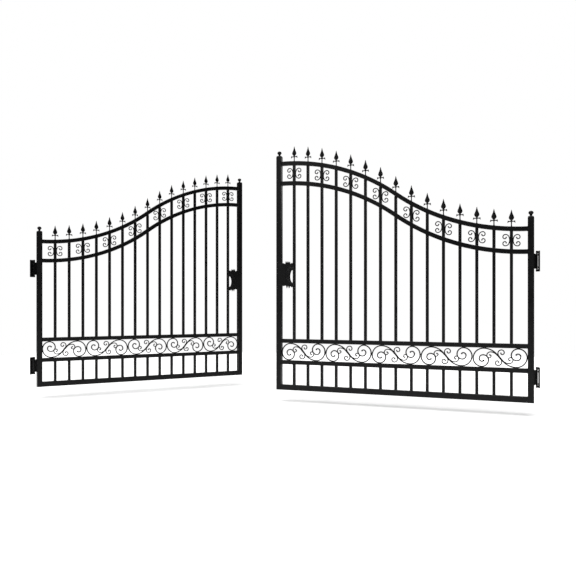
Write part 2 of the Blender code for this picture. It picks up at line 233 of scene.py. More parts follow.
def arc_profile(radius, half_height, middle, start_deg, end_deg, steps):
    """Part of an oval seen from the side, from its foot at 0 degrees to its top at 180."""
    points = []
    for step in range(steps + 1):
        angle = math.radians(start_deg + (end_deg - start_deg) * step / steps)
        points.append((max(radius * math.sin(angle), 0.0), middle - half_height * math.cos(angle)))
    return points


def add_ball(bm, middle, radii, sides=14, rings=8):
    """Closed oval ball with the three given radii."""
    profile = arc_profile(1.0, 1.0, 0.0, 180.0 / rings, 180.0 - 180.0 / rings, rings - 2)
    profile = [(0.0, -1.0)] + profile + [(0.0, 1.0)]
    turned(bm, profile, sides, Matrix.Translation(middle) @ Matrix.Diagonal((*radii, 1.0)))


def add_plate(bm, outline, low, high, soften=0.0, along="z"):
    """Extrude an outline of (x, y) points in z, or of (x, z) points in y, and soften its edges."""
    own = bmesh.new()
    rings = []
    for level in (low, high):
        rings.append([Vector((a, b, level)) if along == "z" else Vector((a, level, b)) for a, b in outline])
    skin(own, rings)
    if soften:
        sharp = [edge for edge in own.edges if edge.calc_face_angle(0.0) > math.radians(25.0)]
        bmesh.ops.bevel(own, geom=sharp, offset=soften, segments=2, profile=0.5, affect="EDGES")
    join(bm, own)


def join(bm, other):
    """Move everything in another mesh into this one."""
    copies = {vertex: bm.verts.new(vertex.co) for vertex in other.verts}
    for face in other.faces:
        bm.faces.new([copies[vertex] for vertex in face.verts])
    other.free()


# ---------------------------------------------------------------- welds

def add_weld(bm, width, depth, place, leg=WELD_LEG):
    """Uneven fillet weld round the foot of a bar; place(across, y, lift) gives a point on it."""
    rings = []
    slope = [(leg, -SINK), (0.80 * leg, 0.30 * leg), (0.34 * leg, 0.66 * leg), (0.0, leg), (-SINK, leg)]
    for spread, lift in slope:
        ring = []
        corner = PICKET_CORNER + SINK + spread
        for across, y in rounded_rect(width + 2 * spread, depth + 2 * spread, corner, 2, 5):
            point = place(across, y, lift)
            bump = RIPPLE * max(spread, 0.0) * noise.noise(point * 420.0)
            out = Vector((across, y)).normalized() * bump
            ring.append(place(across + out.x, y + out.y, lift))
        rings.append(ring)
    skin(bm, rings)


def add_bead(bm, start, end, radius, pitch=0.0022):
    """Straight weld bead laid down as a row of overlapping ripples."""
    start, end = Vector(start), Vector(end)
    direction = (end - start).normalized()
    side = direction.orthogonal().normalized()
    other = direction.cross(side)
    count = max(4, round((end - start).length / pitch)) * 2
    rings = [[start]]
    for index in range(1, count):
        middle = start.lerp(end, index / count)
        swell = radius * (1.0 if index % 2 else 0.82)
        swell *= 1 + 0.3 * RIPPLE * noise.noise(middle * 300.0)
        swell *= min(1.0, 0.5 + min(index, count - index) / 4)
        ring = []
        for step in range(10):
            angle = 2 * math.pi * step / 10
            ring.append(middle + swell * (math.cos(angle) * side + math.sin(angle) * other))
        rings.append(ring)
    rings.append([end])
    skin(bm, rings)


# ---------------------------------------------------------------- curves

def arc_chain(heading_deg, side, legs, start=(0.0, 0.0), straight=0.0):
    """Points along a straight lead and a chain of tangent arcs, each (radius, degrees turned)."""
    heading = math.radians(heading_deg)
    point = Vector(start)
    points = [point]
    if straight:
        point = point + straight * Vector((math.cos(heading), math.sin(heading)))
        points.append(point)
    for radius, turn_deg in legs:
        turn = math.radians(turn_deg)
        steps = math.ceil(turn_deg / ARC_STEP_DEG)
        centre = point + side * radius * Vector((-math.sin(heading), math.cos(heading)))
        spoke = point - centre
        for step in range(1, steps + 1):
            points.append(centre + Matrix.Rotation(side * turn * step / steps, 2) @ spoke)
        point = points[-1]
        heading += side * turn
    return points


def lead_in(heading_deg, reach, rise):
    """Length of the straight and radius of the arc that together climb to a level top."""
    slope = math.radians(heading_deg)
    whole = 1 - math.cos(slope)
    straight = (rise * math.sin(slope) - reach * whole) / whole
    radius = (reach * math.sin(slope) - rise * math.cos(slope)) / whole
    return straight, radius


def half_turn(points):
    return [-point for point in points]


def shifted(points, x, z, flip_x=False):
    across = -1.0 if flip_x else 1.0
    return [Vector((x + across * point.x, z + point.y)) for point in points]


def through(points, steps):
    """Smooth curve through points (Catmull-Rom)."""
    points = [Vector(point) for point in points]
    ends = [points[0]] + points + [points[-1]]
    curve = []
    for a, b, c, d in zip(ends, ends[1:], ends[2:], ends[3:]):
        for step in range(steps):
            t = step / steps
            curve.append(0.5 * (2 * b + (c - a) * t + (2 * a - 5 * b + 4 * c - d) * t ** 2
                                + (3 * b - a - 3 * c + d) * t ** 3))
    return curve + [points[-1]]


class Arch:
    """The arched rails: an S of two tangent arcs between the stiles, level at both."""

    def __init__(self, start, end):
        self.start, self.end = start, end
        self.half = (end - start) / 2
        rise = (ARCH_HIGH - ARCH_LOW) / 2
        self.radius = (self.half ** 2 + rise ** 2) / (2 * rise)

    def height(self, x):
        """Upper side of the top rail."""
        along = min(max(x - self.start, 0.0), 2 * self.half)
        if along < self.half:
            return ARCH_LOW + self.radius - math.sqrt(self.radius ** 2 - along ** 2)
        return ARCH_HIGH - self.radius + math.sqrt(self.radius ** 2 - (2 * self.half - along) ** 2)

    def face(self, x, rail, drop, way):
        """Upper (way 1) or lower (way -1) face of the rail that lies drop below the top rail."""
        along = min(max(x - self.start, 0.0), 2 * self.half)
        slope = math.asin(min(along, 2 * self.half - along) / self.radius)
        return self.height(x) - drop - rail / 2 + way * rail / 2 / math.cos(slope)

    def path(self, rail, drop, steps=72):
        """Middle line of the rail that lies drop below the top rail."""
        places = [self.start + (self.end - self.start) * index / steps for index in range(steps + 1)]
        return [Vector((x, self.height(x) - drop - rail / 2)) for x in places]


# ---------------------------------------------------------------- finishes

def add_node(tree, kind, inputs=(), **settings):
    """New shader node with its settings; each input is a value or another node's output."""
    node = tree.nodes.new(kind)
    for key, value in settings.items():
        setattr(node, key, value)
    for socket, value in dict(inputs).items():
        if isinstance(value, bpy.types.NodeSocket):
            tree.links.new(value, node.inputs[socket])
        else:
            node.inputs[socket].default_value = value
    return node


def powder_coat(name, roughness, swell_scale, swell, peel, edge_highlight):
    """Satin black powder coat: orange peel, the metal's own unevenness, a painted highlight along convex
    edges, and settled dust on upward faces whose lighter colour also serves as a painted highlight there.
    """
    material = bpy.data.materials.new(name)
    material.use_nodes = True
    tree = material.node_tree
    shader = tree.nodes["Principled BSDF"]
    place = add_node(tree, "ShaderNodeTexCoord").outputs["Object"]
    surface = add_node(tree, "ShaderNodeNewGeometry")

    def cloud(scale, detail=3.0):
        texture = add_node(tree, "ShaderNodeTexNoise", {"Vector": place, "Scale": scale, "Detail": detail})
        return texture.outputs["Fac"]

    def ranged(value, from_min, from_max, to_min, to_max):
        node = add_node(tree, "ShaderNodeMapRange", {
            "Value": value, "From Min": from_min, "From Max": from_max, "To Min": to_min, "To Max": to_max})
        return node.outputs["Result"]

    def times(first, second):
        return add_node(tree, "ShaderNodeMath", {0: first, 1: second}, operation="MULTIPLY").outputs[0]

    def blend(share, first, second):
        node = add_node(tree, "ShaderNodeMix", data_type="RGBA")
        for socket, value in ((0, share), (6, first), (7, second)):
            if isinstance(value, bpy.types.NodeSocket):
                tree.links.new(value, node.inputs[socket])
            else:
                node.inputs[socket].default_value = value
        return node.outputs[2]

    # Painted highlight: convex edges, found by pointiness, are made lighter in the colour, broken up by
    # noise.
    edges = ranged(surface.outputs["Pointiness"], 0.515, 0.60, 0.0, edge_highlight)
    edges = times(edges, ranged(cloud(38.0), 0.40, 0.62, 0.25, 1.0))
    # Dust settles on upward faces, lighter and rougher; its lighter colour also serves as a painted highlight
    # on the top faces and top edges.
    upward = add_node(tree, "ShaderNodeSeparateXYZ", {0: surface.outputs["Normal"]}).outputs["Z"]
    dust_and_top_highlight = times(ranged(upward, 0.55, 1.0, 0.0, 0.42), ranged(cloud(16.0, 5.0), 0.36, 0.66, 0.15, 1.0))
    tone = blend(ranged(cloud(3.2), 0.35, 0.65, 0.0, 0.30), BLACK, GRAPHITE)
    # Painted edge highlight mixed into the colour.
    tone = blend(edges, tone, GRAPHITE)
    # Dust that also serves as a painted highlight on upward faces, mixed into the colour.
    tone = blend(dust_and_top_highlight, tone, DUST_AND_TOP_HIGHLIGHT)
    tree.links.new(tone, shader.inputs["Base Color"])

    smear = ranged(cloud(9.0, 5.0), 0.30, 0.70, roughness - 0.055, roughness + 0.065)
    rough = add_node(tree, "ShaderNodeMath", {0: smear, 1: times(dust_and_top_highlight, 0.45)}, operation="ADD").outputs[0]
    tree.links.new(rough, shader.inputs["Roughness"])

    relief = None
    for scale, height, detail in ((swell_scale, swell, 2.0), (520.0, peel, 1.0), (2100.0, peel * 0.16, 0.0)):
        inputs = {"Height": cloud(scale, detail), "Distance": height, "Strength": 1.0}
        if relief:
            inputs["Normal"] = relief
        relief = add_node(tree, "ShaderNodeBump", inputs).outputs["Normal"]
    tree.links.new(relief, shader.inputs["Normal"])

    shader.inputs["IOR"].default_value = 1.50
    shader.inputs["Specular IOR Level"].default_value = 0.15
    shader.inputs["Coat Weight"].default_value = 0.02
    shader.inputs["Coat Roughness"].default_value = 0.25
    return material


# The last number of each finish is the strength of its painted highlight along convex edges.
FINISHES = {
    "frame_tube": powder_coat("coated_square_tube", 0.36, 30.0, 0.00030, 0.00016, 0.55),
    "picket_bar": powder_coat("coated_picket", 0.38, 42.0, 0.00026, 0.00014, 0.50),
    "scroll_bar": powder_coat("coated_bent_bar", 0.40, 95.0, 0.00038, 0.00012, 0.60),
    "cast_ornament": powder_coat("coated_casting", 0.44, 260.0, 0.00042, 0.00014, 0.80),
    "hinge_steel": powder_coat("coated_hinge", 0.34, 70.0, 0.00020, 0.00010, 0.85),
}


# ---------------------------------------------------------------- frame of a leaf

def tube(side, part):
    """Stile or straight rail: a square tube the size of its CAD node."""
    low, high = side.box(part)
    bm = bmesh.new()
    middle_x, middle_z = (low.x + high.x) / 2, (low.z + high.z) / 2
    if high.z - low.z > high.x - low.x:
        add_bar(bm, (middle_x, low.z), (middle_x, high.z), high.x - low.x, high.y - low.y, TUBE_CORNER)
    else:
        add_bar(bm, (low.x, middle_z), (high.x, middle_z), high.z - low.z, high.y - low.y, TUBE_CORNER)
    return bm


def stile_cap(side, part):
    """Shoulder that rounds in from the square stile, a neck with a ring, and a flattened ball."""
    low, high = side.box(part)
    middle = (low + high) / 2
    shoulder_height, ball_height, ball_radius = 0.013, 0.034, 0.0185
    shoulder_foot, shoulder_inset = 0.002, 0.0185
    width = high.x - low.x
    bm = bmesh.new()
    rings = []
    steps = 8
    for step in range(steps + 1):
        angle = math.radians(90.0 * step / steps)
        narrowing = shoulder_inset * (1 - math.cos(angle))
        side_now = width - narrowing
        corner = TUBE_CORNER + narrowing * 0.38
        z = low.z + shoulder_foot + (shoulder_height - shoulder_foot) * math.sin(angle)
        section = rounded_rect(side_now, side_now, corner)
        rings.append([Vector((middle.x + a, middle.y + b, z)) for a, b in section])
    foot = [Vector((point.x, point.y, low.z)) for point in rings[0]]
    skin(bm, [foot] + rings)
    neck, ring = 0.0080, 0.0108
    top = high.z
    ball_foot = top - ball_height
    profile = [(0.0, low.z + 0.008), (0.0125, low.z + 0.008)]
    profile += [(0.0125, low.z + 0.0132), (0.0102, low.z + 0.0146)]
    profile += [(neck, low.z + 0.0160), (neck, ball_foot + 0.0004), (ring, ball_foot + 0.0012)]
    profile += [(ring, ball_foot + 0.0028), (neck + 0.0004, ball_foot + 0.0040)]
    ball_middle = ball_foot + 0.002 + ball_height / 2
    profile += arc_profile(ball_radius, ball_height / 2 - 0.002, ball_middle, 34.0, 172.0, 18)
    profile += [(0.0, top)]
    turned(bm, profile, 36, Matrix.Translation((middle.x, middle.y, 0.0)))
    return bm


def arched_rail(arch, rail, drop):
    bm = bmesh.new()
    sweep(bm, arch.path(rail, drop), rounded_rect(rail, rail, TUBE_CORNER))
    return bm


def picket_places(arch):
    first = (arch.start + arch.end - (PICKET_COUNT - 1) * PICKET_PITCH) / 2
    return [first + PICKET_PITCH * index for index in range(PICKET_COUNT)]


def pickets(places, foot, top):
    """Row of square bars from foot to top(x)."""
    bm = bmesh.new()
    for x in places:
        add_bar(bm, (x, foot - SINK), (x, top(x) + SINK), PICKET, PICKET, PICKET_CORNER)
    return bm


def picket_welds(places, faces):
    """Fillets round every picket at each (height of the face at x, way the picket runs from it)."""
    bm = bmesh.new()
    for x in places:
        for face, way in faces:
            def place(across, y, lift, x=x, face=face, way=way):
                return Vector((x + across, y, face(x + across) + way * lift))
            add_weld(bm, PICKET, PICKET, place)
    return bm


def rail_welds(arch, rail, heights):
    """Fillets round both ends of every rail; heights holds the middle of the rail at a given x."""
    bm = bmesh.new()
    for middle in heights:
        for x, way in ((arch.start, 1), (arch.end, -1)):
            def place(across, y, lift, x=x, way=way, z=middle(x)):
                return Vector((x + way * lift, y, z + across))
            add_weld(bm, rail, rail, place, RAIL_WELD_LEG)
    return bm


# ---------------------------------------------------------------- scrolls

def scroll_arms(reach, rise):
    """Middle lines of one unit: the long S and the two C-scrolls on its slanting middle."""
    slant = SCROLL_SLANT_DEG
    straight, first = lead_in(slant, reach - OUTER_TURN, rise)
    legs = [(first, slant), (OUTER_TURN, 90), (2 * rise - OUTER_TURN, 90)]
    legs += [(0.050, 90), (0.039, 90), (0.029, 90), (0.021, 90), (0.013, 60)]
    arm = arc_chain(slant, -1, legs, straight=straight)
    scroll = half_turn(arm)[::-1] + arm[1:]

    along = math.radians(slant)
    beside = SMALL_BESIDE * Vector((math.sin(along), -math.cos(along)))
    upper_legs = [(0.060, slant), (0.027, 90), (0.018, 90), (0.013, 90), (0.009, 90)]
    upper = arc_chain(slant, -1, upper_legs, start=beside, straight=0.030)
    lower_legs = [(0.035, 90 - slant), (0.026, 90), (0.020, 90), (0.015, 90), (0.010, 90)]
    lower = arc_chain(slant - 180, 1, lower_legs, start=beside, straight=0.012)
    small = lower[::-1] + upper[1:]
    return scroll, small, half_turn(small)


def add_scroll(bm, path, stock, depth, bud):
    """Bent bar with a rolled bud at each end."""
    sweep(bm, path, rounded_rect(stock, depth, BAR_CORNER, 2))
    for end in (path[0], path[-1]):
        add_ball(bm, (end.x, 0.0, end.y), (bud, depth / 2 + 0.0006, bud))


def scroll_unit(side, index, arch):
    """S-scroll with its two C-scrolls, tacked to the rails and to its neighbours."""
    width = (arch.end - arch.start) / SCROLL_COUNT
    floor = side.box("lower_band_rail")[1].z
    ceiling = side.box("upper_band_rail")[0].z
    x = arch.start + width * (index + 0.5)
    z = (floor + ceiling) / 2
    reach = width / 2 - GAP - SCROLL_STOCK / 2
    rise = (ceiling - floor) / 2 - GAP - SCROLL_STOCK / 2
    bm = bmesh.new()
    scroll, small, other = scroll_arms(reach, rise)
    add_scroll(bm, shifted(scroll, x, z), SCROLL_STOCK, SCROLL_DEPTH, SCROLL_BUD)
    add_scroll(bm, shifted(small, x, z), SMALL_STOCK, SCROLL_DEPTH - DEPTH_STEP, SMALL_BUD)
    add_scroll(bm, shifted(other, x, z), SMALL_STOCK, SCROLL_DEPTH - 2 * DEPTH_STEP, SMALL_BUD)
    tack, flat = 0.0075, 0.0019
    low_turn = 2 * rise - OUTER_TURN
    for way in (1, -1):
        top = Vector((x + way * (reach - OUTER_TURN), 0.0, z + way * (rise + SCROLL_STOCK / 2 - flat / 2)))
        bottom = Vector((x + way * (reach - low_turn), 0.0, z - way * (rise + SCROLL_STOCK / 2 - flat / 2)))
        beside = Vector((x + way * (reach + SCROLL_STOCK / 2 - flat / 2), 0.0, z + way * (rise - OUTER_TURN)))
        add_ball(bm, top, (tack, SCROLL_DEPTH / 2 + 0.0004, flat))
        add_ball(bm, bottom, (tack, SCROLL_DEPTH / 2 + 0.0004, flat))
        add_ball(bm, beside, (flat, SCROLL_DEPTH / 2 + 0.0004, tack))
    return bm


def collar_scrolls(arch, rail):
    """Pairs of C-scrolls back to back on every second picket, between the two arched rails."""
    legs = [(0.064, 25), (0.0275, 65), (0.018, 90), (0.014, 90), (0.010, 90)]
    upper = arc_chain(90, -1, legs)
    lower = [Vector((point.x, -point.y)) for point in upper]
    scroll = lower[::-1] + upper[1:]
    bm = bmesh.new()
    for x in picket_places(arch)[::2]:
        for way in (-1, 1):
            middle = arch.height(x + way * COLLAR_LEAN) - (ARCH_DROP + rail) / 2
            path = shifted(scroll, x + way * COLLAR_BACK, middle, flip_x=way < 0)
            add_scroll(bm, path, COLLAR_STOCK, COLLAR_DEPTH, COLLAR_BUD)
            for z in (middle - 0.010, middle + 0.010):
                tack = (x + way * (PICKET / 2 + 0.0006), 0.0, z)
                add_ball(bm, tack, (0.0042, COLLAR_DEPTH / 2 + 0.0012, 0.0085))
    return bm


# ---------------------------------------------------------------- castings

def oval_section(half_width, half_depth, power, count=20):
    """Points of a superellipse: a power near 1 gives a diamond, 2 an ellipse."""
    points = []
    for index in range(count):
        angle = 2 * math.pi * index / count
        c, s = math.cos(angle), math.sin(angle)
        points.append((half_width * math.copysign(abs(c) ** (2 / power), c),
                       half_depth * math.copysign(abs(s) ** (2 / power), s)))
    return points


def spear_head(bm, x, foot):
    """Cast spear: round shank, drooping cross bar with flared ends, and a ridged leaf blade."""
    shank = [(0.0, -0.006), (0.0064, -0.006), (0.0064, 0.0020), (0.0052, 0.0042), (0.0043, 0.0080)]
    shank += [(0.0043, 0.0290), (0.0054, 0.0340), (0.0054, 0.0480), (0.0, 0.0500)]
    turned(bm, shank, 16, Matrix.Translation((x, 0.0, foot)))

    blade = through([
        (0.0440, 0.0046), (0.0480, 0.0070), (0.0560, 0.0150), (0.0660, 0.0195), (0.0770, 0.0175),
        (0.0960, 0.0098), (0.1140, 0.0045), (0.1270, 0.0016)], 4)
    rings = []
    for height, half_width in blade:
        half_depth = 0.0010 + 0.0036 * min(1.0, half_width / 0.0185) ** 0.7
        section = oval_section(half_width, half_depth, 1.16)
        rings.append([Vector((x + a, b, foot + height)) for a, b in section])
    tip = [Vector((x, 0.0, foot + 0.1280))]
    skin(bm, rings + [tip])

    wing = through([
        (0.0, 0.0410, 0.0060), (0.0050, 0.0408, 0.0056), (0.0130, 0.0398, 0.0036),
        (0.0200, 0.0385, 0.0056), (0.0275, 0.0368, 0.0108)], 4)
    stations = [(-across, height, half) for across, height, half in reversed(wing[1:])]
    stations += [tuple(station) for station in wing]
    rings = []
    for across, height, half in stations:
        lean = 0.14 if across > 0 else -0.14
        section = oval_section(half, 0.0036, 2.6)
        rings.append([Vector((x + across - lean * a, b, foot + height + a)) for a, b in section])
    for end, way in ((0, -1), (-1, 1)):
        middle = sum(rings[end], Vector()) / len(rings[end])
        dished = [point.lerp(middle, 0.45) - Vector((way * 0.0016, 0.0, 0.0)) for point in rings[end]]
        rings.insert(0 if end == 0 else len(rings), dished)
    skin(bm, rings)


def spear_heads(arch):
    bm = bmesh.new()
    for x in picket_places(arch):
        spear_head(bm, x, arch.height(x))
    return bm


def lock_outline():
    """Edge of the lock plate as (across, up) from the latch stile's middle, scalloped away from it."""
    straight = [(-0.004, 0.096), (-0.004, -0.094)]
    scallops = [
        (0.022, -0.092), (0.046, -0.098), (0.070, -0.096), (0.079, -0.119), (0.089, -0.099), (0.100, -0.119),
        (0.110, -0.101), (0.127, -0.110), (0.148, -0.086), (0.142, -0.070), (0.124, -0.066), (0.114, -0.044),
        (0.110, -0.017), (0.114, 0.010), (0.124, 0.034), (0.143, 0.038), (0.149, 0.056), (0.142, 0.080),
        (0.127, 0.102), (0.114, 0.093), (0.107, 0.113), (0.098, 0.104), (0.089, 0.116), (0.080, 0.104),
        (0.070, 0.116), (0.062, 0.094), (0.046, 0.100), (0.025, 0.095),
    ]
    return [Vector(point) for point in straight] + through(scallops, 4)


def lock_strokes():
    """Leaves and curls raised on the plate: each a smooth line and its half width at the root."""
    def volute(start, heading, way):
        return arc_chain(heading, way, [(0.014, 150), (0.010, 150), (0.0065, 150)], start=start)

    fan = (0.095, 0.058)
    tail = (0.097, -0.062)
    strokes = [
        ([fan, (0.084, 0.080), (0.072, 0.107)], 0.0058),
        ([fan, (0.091, 0.084), (0.0895, 0.108)], 0.0058),
        ([fan, (0.100, 0.080), (0.1065, 0.105)], 0.0058),
        ([fan, (0.112, 0.070), (0.127, 0.093)], 0.0060),
        ([fan, (0.118, 0.054), (0.143, 0.058)], 0.0062),
        ([tail, (0.086, -0.084), (0.079, -0.112)], 0.0056),
        ([tail, (0.097, -0.088), (0.100, -0.112)], 0.0056),
        ([tail, (0.110, -0.082), (0.126, -0.102)], 0.0058),
        ([tail, (0.120, -0.072), (0.142, -0.082)], 0.0060),
        ([(0.119, 0.040), (0.107, 0.012), (0.1035, -0.017), (0.107, -0.044), (0.118, -0.068)], 0.0042),
        ([(0.068, 0.090), (0.073, 0.050), (0.066, 0.000), (0.073, -0.050), (0.068, -0.092)], 0.0030),
    ]
    drawn = [(through(points, 6), width) for points, width in strokes]
    drawn.append((volute((0.078, 0.028), 80.0, -1), 0.0040))
    drawn.append((volute((0.078, -0.034), -80.0, 1), 0.0040))
    return drawn


def distances(points, line, closed=False):
    """Distance of every point to a line of points, and how far along the line it is nearest."""
    line = np.array([tuple(point) for point in line])
    ends = np.roll(line, -1, axis=0) if closed else line[1:]
    starts = line if closed else line[:-1]
    nearest = np.full(len(points), np.inf)
    share = np.zeros(len(points))
    for index, (start, end) in enumerate(zip(starts, ends)):
        run = end - start
        t = np.clip(((points - start) @ run) / max(run @ run, 1e-12), 0.0, 1.0)
        gap = np.linalg.norm(points - start - t[:, None] * run, axis=1)
        closer = gap < nearest
        nearest[closer] = gap[closer]
        share[closer] = ((index + t) / len(starts))[closer]
    return nearest, share


def lock_plate(side):
    """Cast plate with rolled edges and raised leaf work on its scalloped half."""
    low, high = side.box("lock_plate")
    stile_low, stile_high = side.box("latch_stile")
    middle_x = (stile_low.x + stile_high.x) / 2
    middle_z = low.z + LOCK_PLATE_BELOW
    outline = lock_outline()
    fine, coarse = 0.0015, 0.0090
    inside = []
    for spacing, start, end in ((coarse, 0.002, 0.056), (fine, 0.058, 0.150)):
        for across in np.arange(start, end, spacing):
            for up in np.arange(-0.120, 0.120, spacing):
                inside.append((across, up))
    inside = np.array(inside)
    gap, _ = distances(inside, outline, closed=True)
    inside = [Vector(point) for point, room in zip(inside, gap) if room > 0.0008]
    count = len(outline)
    edges = [(index, (index + 1) % count) for index in range(count)]
    flat, _, faces, *_ = geometry.delaunay_2d_cdt(outline + inside, edges, [list(range(count))], 1, 1e-7)

    points = np.array([tuple(point) for point in flat])
    gap, _ = distances(points, outline, closed=True)
    roll = 0.0016
    lift = -(roll - np.sqrt(np.maximum(roll ** 2 - np.maximum(roll - gap, 0.0) ** 2, 0.0)))
    relief = np.zeros(len(points))
    for line, half_width in lock_strokes():
        near, share = distances(points, line)
        width = half_width * (1.0 - 0.55 * share)
        relief = np.maximum(relief, 0.55 * width * np.sqrt(np.maximum(1.0 - (near / width) ** 2, 0.0)))
    lift += relief * np.clip(gap / 0.002, 0.0, 1.0)

    bm = bmesh.new()
    back_y = high.y
    front_y = high.y - LOCK_PLATE_DEPTH
    front = [bm.verts.new((middle_x - a, front_y - up, middle_z + b)) for (a, b), up in zip(flat, lift)]
    for face in faces:
        bm.faces.new([front[index] for index in face])
    rim = [edge for edge in bm.edges if edge.is_boundary]
    walls = bmesh.ops.extrude_edge_only(bm, edges=rim)["geom"]
    for vertex in [item for item in walls if isinstance(item, bmesh.types.BMVert)]:
        vertex.co.y = back_y
    bmesh.ops.holes_fill(bm, edges=[edge for edge in bm.edges if edge.is_boundary])
    return bm


# ---------------------------------------------------------------- hinges

def gate_hinge(side, part):
    """Barrel on a plate welded to the hinge stile, its ends chamfered and its welds left as laid."""
    low, high = side.box(part)
    height = (low.z + high.z) / 2
    half = (high.z - low.z) / 2
    pin_back = side.pin_back
    barrel, bore, chamfer = -low.x, 0.0048, 0.0008
    plate_thickness, web_reach = 0.004, 0.008
    web_start, web_front = (barrel + bore) / 2, pin_back - web_reach
    bm = bmesh.new()
    profile = [
        (bore, -half), (barrel - chamfer, -half), (barrel, -half + chamfer), (barrel, half - chamfer),
        (barrel - chamfer, half), (bore, half), (bore, -half)]
    turned_ring(bm, profile, 40, Matrix.Translation((0.0, pin_back, height)))
    outer, front = high.x, low.y
    back = side.box("hinge_stile")[1].y - 0.0006
    inner = outer - plate_thickness
    plan = [
        (outer, front), (outer, back), (web_start, back),
        (web_start, web_front), (inner, web_front), (inner, front),
    ]
    plate_half = half - 0.004
    add_plate(bm, plan, height - plate_half, height + plate_half, 0.0005)
    bead_low, bead_high = height - plate_half + 0.004, height + plate_half - 0.004
    for x, y, radius in ((outer, front, 0.0017), (web_start + 0.0006, web_front, 0.0014)):
        add_bead(bm, (x, y, bead_low), (x, y, bead_high), radius)
    for way in (-1, 1):
        level = height + way * plate_half
        add_bead(bm, (outer, front + 0.003, level), (outer, back - 0.003, level), 0.0016)
    return bm


def turned_ring(bm, profile, sides, matrix):
    """Spin a closed profile into a body with a bore; the profile's last point repeats its first."""
    turn = 2 * math.pi / sides
    rings = []
    for radius, height in profile[:-1]:
        ring = []
        for index in range(sides):
            angle = turn * index
            point = Vector((radius * math.cos(angle), radius * math.sin(angle), height))
            ring.append(bm.verts.new(matrix @ point))
        rings.append(ring)
    rings.append(rings[0])
    for ring, following in zip(rings, rings[1:]):
        for index in range(sides):
            after = (index + 1) % sides
            bm.faces.new((ring[index], ring[after], following[after], following[index]))


def hex_bolt(bm, place):
    """Hexagon head with a chamfered crown on a washer, along the z axis of a matrix."""
    washer = [(0.0, 0.0), (0.0086, 0.0), (0.0088, 0.0003), (0.0088, 0.0011), (0.0084, 0.0014), (0.0, 0.0014)]
    turned(bm, washer, 32, place)
    head = [(0.0, 0.0012), (0.0072, 0.0012), (0.0075, 0.0018)]
    head += [(0.0075, 0.0050), (0.0066, 0.0060), (0.0, 0.0060)]
    turned(bm, head, 6, place)
    crown = [(0.0, 0.0055), (0.0058, 0.0055), (0.0058, 0.0061), (0.0054, 0.0064), (0.0, 0.0064)]
    turned(bm, crown, 28, place)


def post_bracket(side, part):
    """Bolted plate with two rounded ears, welded on, and the headed pin that they hold."""
    low, high = side.box(part, fixed=True)
    height = (low.z + high.z) / 2
    half = (high.z - low.z) / 2
    pin_back = side.pin_back
    plate, ear_height, ear_radius, pin_radius = 0.006, 0.016, high.x, 0.004
    inner = low.x + plate
    bm = bmesh.new()
    corner, bolt_front, bolt_up = 0.005, -0.006, 0.046
    section = rounded_rect(high.y - low.y, high.z - low.z, corner, 4)
    faces = [(low.x, 0.0), (inner - 0.0008, 0.0), (inner, 0.0008)]
    middle_y = (low.y + high.y) / 2
    rings = []
    for x, inset in faces:
        shrink_y = 1 - 2 * inset / (high.y - low.y)
        shrink_z = 1 - 2 * inset / (high.z - low.z)
        rings.append([Vector((x, middle_y + a * shrink_y, height + b * shrink_z)) for a, b in section])
    skin(bm, rings)

    ear = [(inner - 0.002, pin_back + ear_radius), (inner - 0.002, pin_back - ear_radius)]
    steps = 20
    for step in range(steps + 1):
        angle = math.pi * (step / steps - 0.5)
        ear.append((ear_radius * math.cos(angle), pin_back + ear_radius * math.sin(angle)))
    inset = 0.0005
    for bottom in (height - half + inset, height + half - ear_height):
        add_plate(bm, ear, bottom, bottom + ear_height - inset, 0.0007)
        for way in (-1, 1):
            y = pin_back + way * ear_radius
            add_bead(bm, (inner, y, bottom + 0.001), (inner, y, bottom + ear_height - 0.0015), 0.0016)
        for level in (bottom, bottom + ear_height - inset):
            if abs(level - height) < half - 2 * inset:
                y_reach = ear_radius - 0.001
                add_bead(bm, (inner, pin_back - y_reach, level), (inner, pin_back + y_reach, level), 0.0015)

    top, bottom = half - inset, -half + inset
    pin = [
        (0.0, bottom - 0.0012), (0.0030, bottom - 0.0012), (0.0040, bottom - 0.0004), (pin_radius, bottom),
        (pin_radius, top), (0.0062, top), (0.0062, top + 0.0008), (0.0052, top + 0.0019),
        (0.0030, top + 0.0026),
        (0.0, top + 0.0028)]
    turned(bm, pin, 28, Matrix.Translation((0.0, pin_back, height)))
    for way in (-1, 1):
        seat = Matrix.Translation((inner, bolt_front, height + way * bolt_up))
        hex_bolt(bm, seat @ Matrix.Rotation(math.pi / 2, 4, "Y"))
    return bm


# ---------------------------------------------------------------- one side

